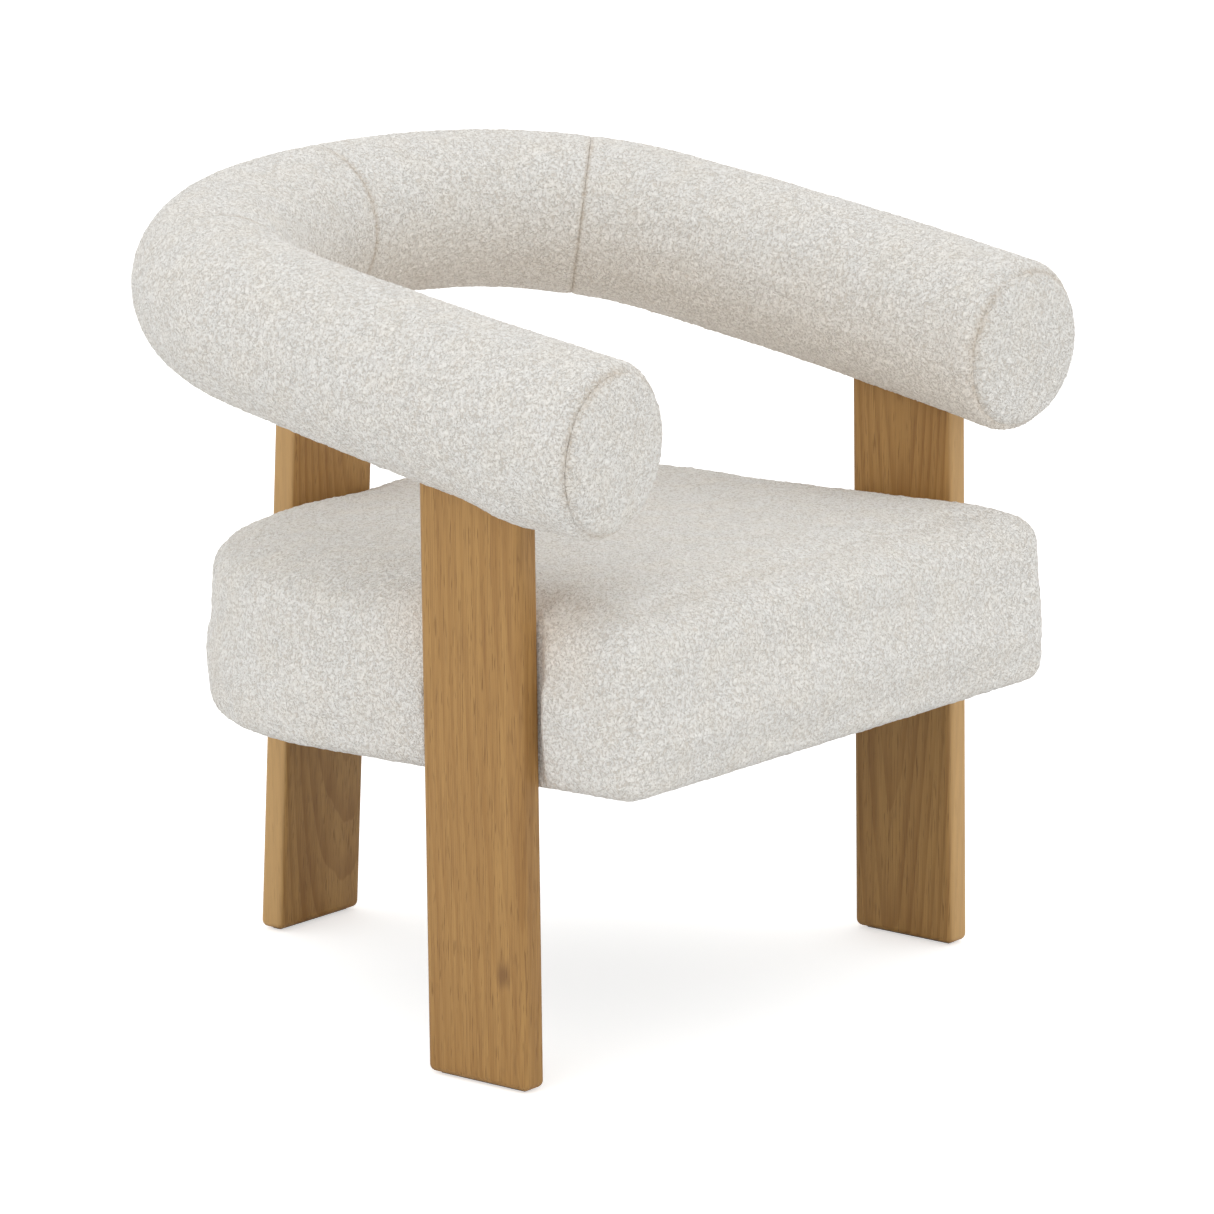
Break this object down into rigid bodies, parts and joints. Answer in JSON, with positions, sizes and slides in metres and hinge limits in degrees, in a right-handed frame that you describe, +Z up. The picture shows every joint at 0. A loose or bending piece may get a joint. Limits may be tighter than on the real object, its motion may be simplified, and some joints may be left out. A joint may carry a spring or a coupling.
{
  "type": "upholstered armchair",
  "caption": "Barrel armchair: a padded horseshoe rail carried on flat plank legs over a thick padded seat block.",
  "frame": {"origin": "on the floor, under the middle of the overall box", "axes": "+Z up; the chair's front faces -Y; +X is the sitter's left"},
  "size_m": [0.7504, 0.6797, 0.73],
  "materials": {
    "leg_wood": "satin honey oak",
    "frame_wood": "sawn softwood",
    "plywood": "sanded plywood",
    "boucle": "curly ivory boucle",
    "foam": "open-cell foam",
    "webbing": "woven elastic webbing",
    "dust_cloth": "black non-woven cloth",
    "felt": "pressed felt",
    "steel": "zinc plated"
  },
  "bodies": {
    "root": {"leg_front_right": "leg_wood", "leg_front_left": "leg_wood", "leg_back": "leg_wood", "glide_front_right": "felt", "glide_front_left": "felt", "glide_back": "felt", "seat_rail_front": "frame_wood", "seat_rail_back": "frame_wood", "seat_rail_left": "frame_wood", "seat_rail_right": "frame_wood", "corner_block_left": "frame_wood", "corner_block_right": "frame_wood", "webbing_lengthwise_1": "webbing", "webbing_lengthwise_2": "webbing", "webbing_lengthwise_3": "webbing", "webbing_lengthwise_4": "webbing", "webbing_lengthwise_5": "webbing", "webbing_crosswise_1": "webbing", "webbing_crosswise_2": "webbing", "webbing_crosswise_3": "webbing", "webbing_crosswise_4": "webbing", "seat_foam": "foam", "back_foam": "foam", "arm_foam_right": "foam", "arm_foam_left": "foam", "seat_cover": "boucle", "back_cover_right": "boucle", "back_cover_left": "boucle", "arm_cover_right": "boucle", "arm_cover_left": "boucle", "arm_cap_right": "boucle", "arm_cap_left": "boucle", "dust_cover": "dust_cloth", "rail_core_lower": "plywood", "rail_core_upper": "plywood", "seat_bolt_front_right_1": "steel", "seat_washer_front_right_1": "steel", "rail_screw_front_right_1": "steel", "seat_bolt_front_right_2": "steel", "seat_washer_front_right_2": "steel", "rail_screw_front_right_2": "steel", "seat_bolt_front_left_1": "steel", "seat_washer_front_left_1": "steel", "rail_screw_front_left_1": "steel", "seat_bolt_front_left_2": "steel", "seat_washer_front_left_2": "steel", "rail_screw_front_left_2": "steel", "seat_bolt_back_1": "steel", "seat_washer_back_1": "steel", "rail_screw_back_1": "steel", "seat_bolt_back_2": "steel", "seat_washer_back_2": "steel", "rail_screw_back_2": "steel"}
  },
  "joints": []
}
